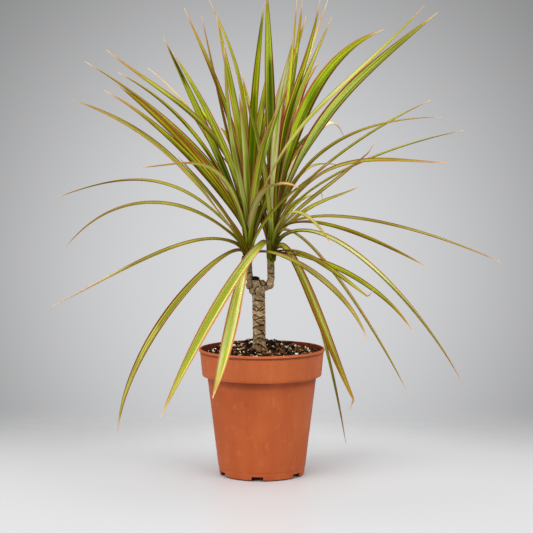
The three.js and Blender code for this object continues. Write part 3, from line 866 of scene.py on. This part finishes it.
def leafArcs(foot, reach, climb, rise, hold, fall, kink):
    # The leaf's line in its own upright plane: up the shoot from its foot, then as the solid runs,
    # cut where its roll is complete and where its tip may turn down.
    tip = Vector((reach, 0, climb))
    points = [Vector(), heading(rise) * hold, tip - heading(-fall) * blade["tipHandle"] * tip.length, tip]
    join, rollEnd, kinkEnd = blade["joinStation"], blade["rollStation"], blade["kinkStation"]
    start, rest = cutArc(points, join)
    first, rest = cutArc(rest, (rollEnd - join) / (1 - join))
    second, third = cutArc(rest, (kinkEnd - rollEnd) / (1 - rollEnd))
    hinge = third[0]
    turn = Matrix.Rotation(math.radians(kink), 3, "Y")
    third = [hinge + turn @ (point - hinge) for point in third]
    span = (first[0] - foot).length
    up = Vector((blade["lean"], 0, 1)).normalized()
    arriving = (start[3] - start[2]).normalized()
    handles = [foot + up * span * blade["footHandle"], first[0] - arriving * span * blade["joinHandle"]]
    return [[foot, *handles, first[0]], first, second, third]


def layCurve(arcs, tilts):
    line = addShape(bpy.ops.curve.primitive_bezier_curve_add)
    line.data.use_stretch = True
    line.data.use_deform_bounds = True
    line.data.resolution_u = 16
    spline = line.data.splines[0]
    spline.tilt_interpolation = "EASE"
    spline.bezier_points.add(len(arcs) - 1)
    places = [arcs[0][0]] + [arc[3] for arc in arcs]
    for i, (point, place) in enumerate(zip(spline.bezier_points, places)):
        point.handle_left_type = point.handle_right_type = "FREE"
        point.co = place * mm
        point.handle_left = (arcs[i - 1][2] if i else place * 2 - arcs[0][1]) * mm
        point.handle_right = (arcs[i][1] if i < len(arcs) else place * 2 - arcs[-1][2]) * mm
        point.tilt = math.radians(tilts[i])
    return line


def makeLeaf(strip, axis, draw, height, look, x, y, z, rise, hold, fall, width, roll, kink=0):
    root = axisPoint(axis, height)
    across = Vector((x - root.x, y - root.y))
    direction = math.atan2(across.y, across.x)
    drop = blade["baseDrop"] + blade["dropGrowth"] * (height - shoots["firstLeaf"])
    low = max(height - drop, shoots["lowestFoot"] + draw.uniform(0, 4))
    shift = axisPoint(axis, low) - root
    shift.rotate(Matrix.Rotation(-direction, 3, "Z"))
    foot = shift + Vector((blade["claspRadius"], 0, 0))
    arcs = leafArcs(foot, across.length, z - root.z, rise, hold, fall, kink)
    curled = roll + draw.uniform(-blade["curl"], blade["curl"])
    line = layCurve(arcs, [0, roll * blade["firstRoll"], roll, curled, curled])
    breadth = width * blade["widen"] * (0.4 + int(look[5]) / 10)
    leaf = copyOf(strip, Matrix.Diagonal((100 * mm, breadth * mm, breadth * mm, 1)))
    applyModifier(leaf, "SOLIDIFY", thickness=blade["thickness"] * mm, offset=-1)
    applyModifier(leaf, "CURVE", object=line, deform_axis="POS_X")
    removePiece(line)
    leaf.data.transform(Matrix.Translation(root * mm) @ Matrix.Rotation(direction, 4, "Z"))
    count = len(leaf.data.vertices)
    for name, digit in zip(("light", "pale", "red", "withered", "brown"), look):
        pointAttribute(leaf, name, [int(digit) / 9] * count)
    pointAttribute(leaf, "leafSeed", [draw.random()] * count)
    upper = count // 2  # the thickened strip's first half is its upper face
    pointAttribute(leaf, "under", [0.0] * upper + [1.0] * (count - upper))
    return leaf


def makeHead(axis, rows, inner, strip, seed):
    draw = random.Random(seed)
    first = shoots["firstLeaf"]
    step = (axis[-1][2] - shoots["lastDepth"] - first) / (len(rows) - 1)
    placed = [(first + step * i, *row) for i, row in enumerate(rows)]
    head = joinPieces([makeLeaf(strip, axis, draw, *leaf) for leaf in placed + inner])
    bpy.ops.object.shade_smooth_by_angle(angle=math.radians(blade["smoothTo"]))
    return head


def makeShoot(axis):
    shoot = tubeAlong(axis, 1, 24)
    radii = shoots["radii"]
    low, high = axis[0][2], axis[-1][2]
    for vertex in shoot.data.vertices:
        if vertex.co.z / mm < low + 0.5:
            vertex.co.z -= shoots["sunk"] * mm
        height = min(max(vertex.co.z / mm, low), high)
        middle = axisPoint(axis, height) * mm
        share = (height - low) / (high - low) * (len(radii) - 1)
        i = min(int(share), len(radii) - 2)
        radius = radii[i] + (radii[i + 1] - radii[i]) * (share - i)
        radius *= 1 + shoots["ripple"] * math.cos(height * shoots["rippleRate"])
        vertex.co.x = middle.x + (vertex.co.x - middle.x) * radius
        vertex.co.y = middle.y + (vertex.co.y - middle.y) * radius
    onlySelect(shoot)
    bpy.ops.object.shade_smooth()
    return shoot


# Pairs of colours are the two ends of a mix, such as a dark leaf and a light one.
leafColours = {
    "green": ((86, 120, 0), (218, 236, 46)), "deep": ((10, 26, 0), (76, 112, 0)),
    "bright": ((196, 218, 14), (252, 247, 194)), "margin": ((72, 4, 0), (230, 100, 92)),
    "yellowing": ((168, 142, 30), (220, 206, 144)), "drying": ((178, 114, 56), (222, 172, 146)),
    "paleGreen": (204, 206, 72), "paleDeep": (150, 166, 50), "olive": (158, 146, 16),
    "cream": (246, 246, 204), "tip": (226, 194, 156),
}
ageAndShadeLayers = {
    "threads": (1.0, (104, 16, 0)), "brown": (0.42, (142, 86, 22)), "underside": (0.2, (80, 92, 2)),
    # the dark foot is painted shade
    "foot": (0.66, (24, 34, 0)),
}


def paintLeaf():
    colours = leafColours
    paint = Paint("stripedLeaf", Specular_IOR_Level=0.015)
    uv = paint.node("ShaderNodeUVMap", {"uv_map": "blade"})
    along, across, _ = paint.split(uv)
    light, pale, red, withered = (paint.attribute(name) for name in ("light", "pale", "red", "withered"))
    brown, seed, under = (paint.attribute(name) for name in ("brown", "leafSeed", "under"))
    edge = abs(across * 2 - 1)

    def streak(many, run, shift):
        vector = paint.vector(across * many + seed * shift, along * run + seed * 7, seed * 13)
        return paint.noise(vector, 1.0, 2.0)

    broad = streak(2.7, 0.8, 41)
    narrow = streak(6.5, 1.2, 23)
    veins = streak(17, 1.6, 61)
    # the green middle: dark to light by leaf, in broad bands with finer ones over them
    tone = light.step(0.06, 0.84)
    cream = pale * pale * along.step(0.0, 0.24)
    green = paint.mix(seed.step(0.35, 1.0) * 0.2, paint.mix(tone, *colours["green"]), colours["olive"])
    green = paint.mix(cream.step(0.0, 1.1), green, colours["paleGreen"])
    deep = paint.mix(cream.step(0.0, 0.7), paint.mix(tone, *colours["deep"]), colours["paleDeep"])
    bright = paint.mix(cream, *colours["bright"])
    colour = paint.mix(broad.step(0.42 - 0.1 * cream, 0.51), deep, green)
    colour = paint.mix(narrow.step(0.52, 0.58) * (0.25 + 0.7 * cream), colour, bright)
    colour = paint.mix((broad + cream * 0.16).step(0.56, 0.64) * cream, colour, colours["cream"])
    colour = paint.mix(veins.step(0.5, 0.62) * 0.6, colour, deep)
    # one half of the folded blade lies away from the light
    turn = (seed * 7.3).sum("FRACT").step(0.49, 0.51) * 2 - 1
    shady = ((across - 0.5) * turn).step(0.06, -0.06) * (1 - 0.8 * cream)
    colour = paint.mix(shady * (0.78 - 0.3 * tone), colour, deep)
    # the blade turns to and from the light along its length
    sway = paint.noise(paint.vector(along * 3.4 + seed * 31, across * 0.5, seed * 17), 1.0, 1.0)
    colour = paint.mix(sway.step(0.5, 0.36) * 0.55 * (1 - 0.7 * cream), colour, deep)
    colour = paint.mix(sway.step(0.52, 0.64) * 0.4, colour, bright)
    # a pale line runs inside each red margin, painted fainter on the shaded half of the blade
    line = edge.step(0.44, 0.58) * edge.step(0.82, 0.7)
    colour = paint.mix(line * (1 - 0.75 * shady) * (0.6 - 0.3 * cream), colour, bright)
    # the red margin is dark inside and pink at its rim, and painted darker on the shaded half of the blade
    rim = (edge + red * 0.05).step(0.8, 0.92)
    lit = (0.2 + 0.8 * rim) * (1 - shady * 0.85) * (0.25 + 0.75 * tone)
    wander = edge + (narrow - 0.5) * 0.36
    margin = (wander + red * 0.08 - cream * 0.08).step(0.7, 0.8) * (0.55 + 0.45 * red)
    colour = paint.mix(margin, colour, paint.mix(lit, *colours["margin"]))
    # red runs inwards in threads on the redder leaves, old ones turn brown, and the clasping foot gets painted
    # shade
    threads = narrow.step(0.5, 0.42) * edge.step(0.05, 0.4) * red * red
    masks = {"threads": threads, "brown": brown, "underside": under, "foot": along.step(0.2, 0.02)}
    colour = paint.layOver(colour, ageAndShadeLayers, masks)
    # the tip withers from yellow through orange to tan, and bleaches on the driest leaves
    past = along - (0.95 - withered * 0.4)
    yellow = past.step(0.0, 0.16)
    bleach = withered.step(0.6, 0.85)
    colour = paint.mix(yellow * (0.4 + 0.3 * bleach), colour, paint.mix(bleach, *colours["yellowing"]))
    colour = paint.mix(past.step(0.1, 0.26) * 0.6, colour, paint.mix(bleach, *colours["drying"]))
    colour = paint.mix(along.step(0.92, 1.0) * 0.75, colour, colours["tip"])
    paint.bump((veins + broad) * along.step(0.7, 0.3), 0.12, 0.3 * mm)
    return paint.finish(Base_Color=colour, Roughness=0.42 + 0.16 * narrow + 0.12 * yellow)


# The dark gaps between the shoot's rings are painted shade.
shootLayers = {
    "bands": (0.75, (96, 58, 26)), "gaps": (0.5, (30, 36, 10)), "straw": (1.0, (150, 132, 48)),
    "bark": (1.0, (70, 46, 22)),
}


def paintShoot():
    paint = Paint("greenShoot", Roughness=0.5, Specular_IOR_Level=0.3)
    place = paint.place()
    wander = paint.noise(place, 160, 3.0)
    height = paint.height(place)
    rings = ((height + wander * 5 + paint.split(place)[0] * 340) * 1.7).sum("SINE")
    uneven = height + wander * 2
    masks = {
        # the gaps: painted shade between the rings
        "bands": rings.step(0.5, 0.95), "gaps": rings.step(-0.6, -0.95),
        "straw": uneven.step(205.2, 202.2), "bark": uneven.step(203, 201.2),
    }
    green = paint.mix(paint.patches(place, 300, 3.0, 0.36, 0.64), (70, 88, 12), (146, 156, 48))
    paint.bump(rings, 0.4, 0.6 * mm)
    return paint.finish(Base_Color=paint.layOver(green, shootLayers, masks))


strip = makeBlade()
leafPaint = paintLeaf()
shootPaint = paintShoot()
for side, rows, inner, seed in (("left", leftLeaves, leftInner, 5), ("right", rightLeaves, rightInner, 8)):
    head = makeHead(shoots[side], rows, inner, strip, seed)
    dress(head, side + "_leaves", leafPaint, side + "_head")
removePiece(strip)
for side in ("left", "right"):
    dress(makeShoot(shoots[side]), side + "_shoot", shootPaint)


# ---- floor, backdrop, lights and camera

studio = {
    # the backdrop dome glows, no lamp, and lights the scene: a painted pool of light behind the plant, dimmer
    # elsewhere
    "domeRadius": 4.0, "glow": (0.0, 3.996, -0.172), "glowReach": 1.04, "glowPower": 2.38,
    "dim": 0.139, "bright": 0.551,
    # beyond the glow the dome glows brighter again, as painted light: from where to where, how much, and how
    # much more low down
    "sides": (1.3, 3.0), "high": 0.1, "low": 0.55, "lowBand": (0.3, -0.9), "domeTint": (0.99, 0.995, 1.01),
    # the floor ends soon behind the plant, and reaches farther to the sides and the front
    "floorRadius": 2.0, "floorMiddle": -0.3, "stretch": 0.6, "floorEnd": (0.72, 0.4),
    # the floor is painted darker far out, as painted shade
    "floorShade": (200, 200, 201), "farShade": (186, 186, 187), "far": (0.25, 0.6),
    # a painted pool of light makes the floor paler round the pot
    "lightPoolMiddle": (0.03, 0.1, 0.0), "lightPoolShade": (212, 212, 213), "lightPoolReach": (0.27, 0.08),
    "aim": (0.0, 0.0, 0.22),
}
lamps = {  # place, width and power
    "keyLight": ((-2.0, -1.85, 1.9), 2.8, 78),
    "fillLight": ((2.05, -1.75, 1.8), 2.8, 54),
    "topLight": ((0.0, -0.1, 2.8), 3.6, 84),
}
view = {"place": (0.00444, -1.7, 0.3507), "down": 0.089, "lens": 121.36}


def makeDome():
    ball = {"segments": 64, "ring_count": 32, "radius": studio["domeRadius"]}
    dome = addShape(bpy.ops.mesh.primitive_uv_sphere_add, **ball)
    dome.name = "backdrop"
    bpy.ops.object.mode_set(mode="EDIT")
    bpy.ops.mesh.flip_normals()
    bpy.ops.object.mode_set(mode="OBJECT")
    bpy.ops.object.shade_smooth()
    black = {"Base_Color": (0, 0, 0, 1), "Specular_IOR_Level": 0, "Roughness": 1.0}
    # The dome glows, as painted light.
    paint = Paint("glowingBackdrop", Emission_Strength=1, **black)
    place = paint.place()
    z = paint.split(place)[2]
    away = paint.distance(place, studio["glow"])
    ratio = away * (1 / studio["glowReach"])
    glow = (ratio.sum("POWER", studio["glowPower"]) * -1).sum("EXPONENT")
    sides = away.step(*studio["sides"]) * (studio["high"] + studio["low"] * z.step(*studio["lowBand"]))
    level = studio["dim"] + studio["bright"] * glow + sides
    paint.finish(Emission_Color=paint.vector(*(level * part for part in studio["domeTint"])))
    dome.data.materials.append(paint.material)


def makeFloor():
    disc = {"vertices": 96, "radius": studio["floorRadius"], "fill_type": "NGON"}
    floor = addShape(bpy.ops.mesh.primitive_circle_add, **disc)
    floor.name = "floor"
    paint = Paint("paleFloor", Roughness=0.42)
    place = paint.place()
    x, y, _ = paint.split(place)
    depth = y - studio["floorMiddle"]
    stretched = depth.sum("MAXIMUM", 0.0) + depth.sum("MINIMUM", 0.0) * studio["stretch"]
    away = paint.distance(paint.vector(x * studio["stretch"], stretched), (0, 0, 0))
    near = paint.distance(place, studio["lightPoolMiddle"])
    # painted shade: darker far out
    grey = paint.mix(away.step(*studio["far"]), studio["floorShade"], studio["farShade"])
    # a painted pool of light round the pot
    grey = paint.mix(near.step(*studio["lightPoolReach"]), grey, studio["lightPoolShade"])
    paint.finish(Base_Color=grey, Alpha=away.step(*studio["floorEnd"]))
    floor.data.materials.append(paint.material)


def makeLamp(name, place, width, power):
    lamp = addShape(bpy.ops.object.light_add, type="AREA", location=place)
    lamp.name = name
    lamp.data.size = width
    lamp.data.energy = power
    lamp.rotation_euler = (Vector(studio["aim"]) - Vector(place)).to_track_quat("-Z", "Y").to_euler()
    lamp.visible_camera = False


def makeCamera():
    turn = (math.pi / 2 - view["down"], 0, 0)
    camera = addShape(bpy.ops.object.camera_add, location=view["place"], rotation=turn)
    camera.data.lens = view["lens"]
    bpy.context.scene.camera = camera


makeDome()
makeFloor()
for name, values in lamps.items():
    makeLamp(name, *values)
makeCamera()
bpy.context.scene.view_settings.view_transform = "Standard"
if bpy.context.scene.world:
    bpy.context.scene.world.use_nodes = True
    bpy.context.scene.world.node_tree.nodes["Background"].inputs["Strength"].default_value = 0
print("made the floor, backdrop, lights and camera")
